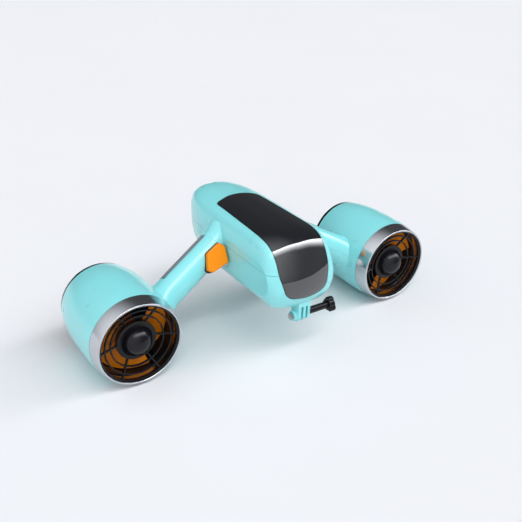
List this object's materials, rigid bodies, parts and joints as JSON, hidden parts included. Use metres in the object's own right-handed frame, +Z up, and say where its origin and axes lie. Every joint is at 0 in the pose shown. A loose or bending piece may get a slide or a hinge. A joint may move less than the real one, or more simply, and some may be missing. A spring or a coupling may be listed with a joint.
{
  "type": "underwater scooter",
  "caption": "Handheld underwater scooter: central battery hull with a handle on each side leading to a ducted propeller pod.",
  "frame": {"origin": "middle of the footprint, on the ground the two pods rest on", "axes": "+X to the side, from the left pod to the right pod seen from the front; the intakes and the nose face -Y; +Z up"},
  "size_m": [0.476, 0.2346, 0.1555],
  "materials": {
    "aqua_shell": "satin gloss moulded shell",
    "polished_ring": "polished metal",
    "black_gloss": "high gloss",
    "black_plastic": "satin moulded plastic",
    "orange_plastic": "satin moulded plastic",
    "grey_rubber": "textured soft rubber",
    "black_rubber": "smooth rubber",
    "dark_case": "moulded case",
    "circuit_board": "lacquered board",
    "steel": "turned steel",
    "aluminium_tube": "drawn tube"
  },
  "bodies": {
    "frame": {"battery_frame": "black_plastic", "battery_pack": "dark_case", "battery_tray": "black_plastic", "camera_mount": "aqua_shell", "control_board": "circuit_board", "hull_screws": "steel", "left_bearings": "steel", "left_duct_liner": "black_plastic", "left_grip": "grey_rubber", "left_handle_lower_shell": "aqua_shell", "left_handle_spar": "aluminium_tube", "left_handle_upper_shell": "aqua_shell", "left_intake_grille": "black_plastic", "left_intake_ring": "polished_ring", "left_motor_can": "black_plastic", "left_nose_dome": "black_gloss", "left_outlet_grille": "black_plastic", "left_outlet_ring": "black_plastic", "left_outlet_screws": "steel", "left_pod_shell": "aqua_shell", "left_stator_frame": "black_plastic", "left_trigger_boot": "black_rubber", "left_trigger_brackets": "black_plastic", "left_trigger_pin": "steel", "left_trigger_spring": "steel", "lower_hull_shell": "aqua_shell", "mount_nut": "steel", "right_bearings": "steel", "right_duct_liner": "black_plastic", "right_grip": "grey_rubber", "right_handle_lower_shell": "aqua_shell", "right_handle_spar": "aluminium_tube", "right_handle_upper_shell": "aqua_shell", "right_intake_grille": "black_plastic", "right_intake_ring": "polished_ring", "right_motor_can": "black_plastic", "right_nose_dome": "black_gloss", "right_outlet_grille": "black_plastic", "right_outlet_ring": "black_plastic", "right_outlet_screws": "steel", "right_pod_shell": "aqua_shell", "right_stator_frame": "black_plastic", "right_trigger_boot": "black_rubber", "right_trigger_brackets": "black_plastic", "right_trigger_pin": "steel", "right_trigger_spring": "steel", "tether_eye": "black_plastic", "upper_hull_shell": "aqua_shell"},
    "left_rotor": {"left_propeller": "orange_plastic", "left_propeller_shaft": "steel", "left_motor_rotor": "steel"},
    "right_rotor": {"right_propeller": "orange_plastic", "right_propeller_shaft": "steel", "right_motor_rotor": "steel"},
    "left_trigger": {"left_trigger": "orange_plastic"},
    "right_trigger": {"right_trigger": "orange_plastic"},
    "cover": {"cover": "black_gloss"},
    "power_button": {"power_button": "orange_plastic"},
    "thumb_screw": {"thumb_screw": "steel", "thumb_knob": "black_plastic"}
  },
  "joints": [
    {"name": "left_propeller_spin", "type": "hinge", "parent": "frame", "child": "left_rotor", "pos_m": [-0.184, -0.02925, 0.054], "axis": [0, 1, 0], "continuous": true},
    {"name": "right_propeller_spin", "type": "hinge", "parent": "frame", "child": "right_rotor", "pos_m": [0.184, -0.02925, 0.054], "axis": [0, 1, 0], "continuous": true},
    {"name": "left_trigger_pull", "type": "hinge", "parent": "frame", "child": "left_trigger", "pos_m": [-0.06122, -0.00232, 0.11017], "axis": [0.8603, 0.1946, 0.4711], "range_deg": [0, 8], "stiffness_Nm_per_rad": 0.3, "springref_deg": -11.46},
    {"name": "right_trigger_pull", "type": "hinge", "parent": "frame", "child": "right_trigger", "pos_m": [0.06122, -0.00232, 0.11017], "axis": [0.8603, -0.1946, -0.4711], "range_deg": [0, 8], "stiffness_Nm_per_rad": 0.3, "springref_deg": -11.46},
    {"name": "cover_lift", "type": "slide", "parent": "frame", "child": "cover", "axis": [0, -0.5, 0.866], "range_m": [0, 0.04]},
    {"name": "power_button_press", "type": "slide", "parent": "frame", "child": "power_button", "axis": [0, -1, 0], "range_m": [0, 0.001], "stiffness_N_per_m": 600, "springref_m": -0.001},
    {"name": "thumb_screw_turn", "type": "hinge", "parent": "frame", "child": "thumb_screw", "pos_m": [0, -0.10445, 0.0587], "axis": [1, 0, 0], "continuous": true}
  ]
}
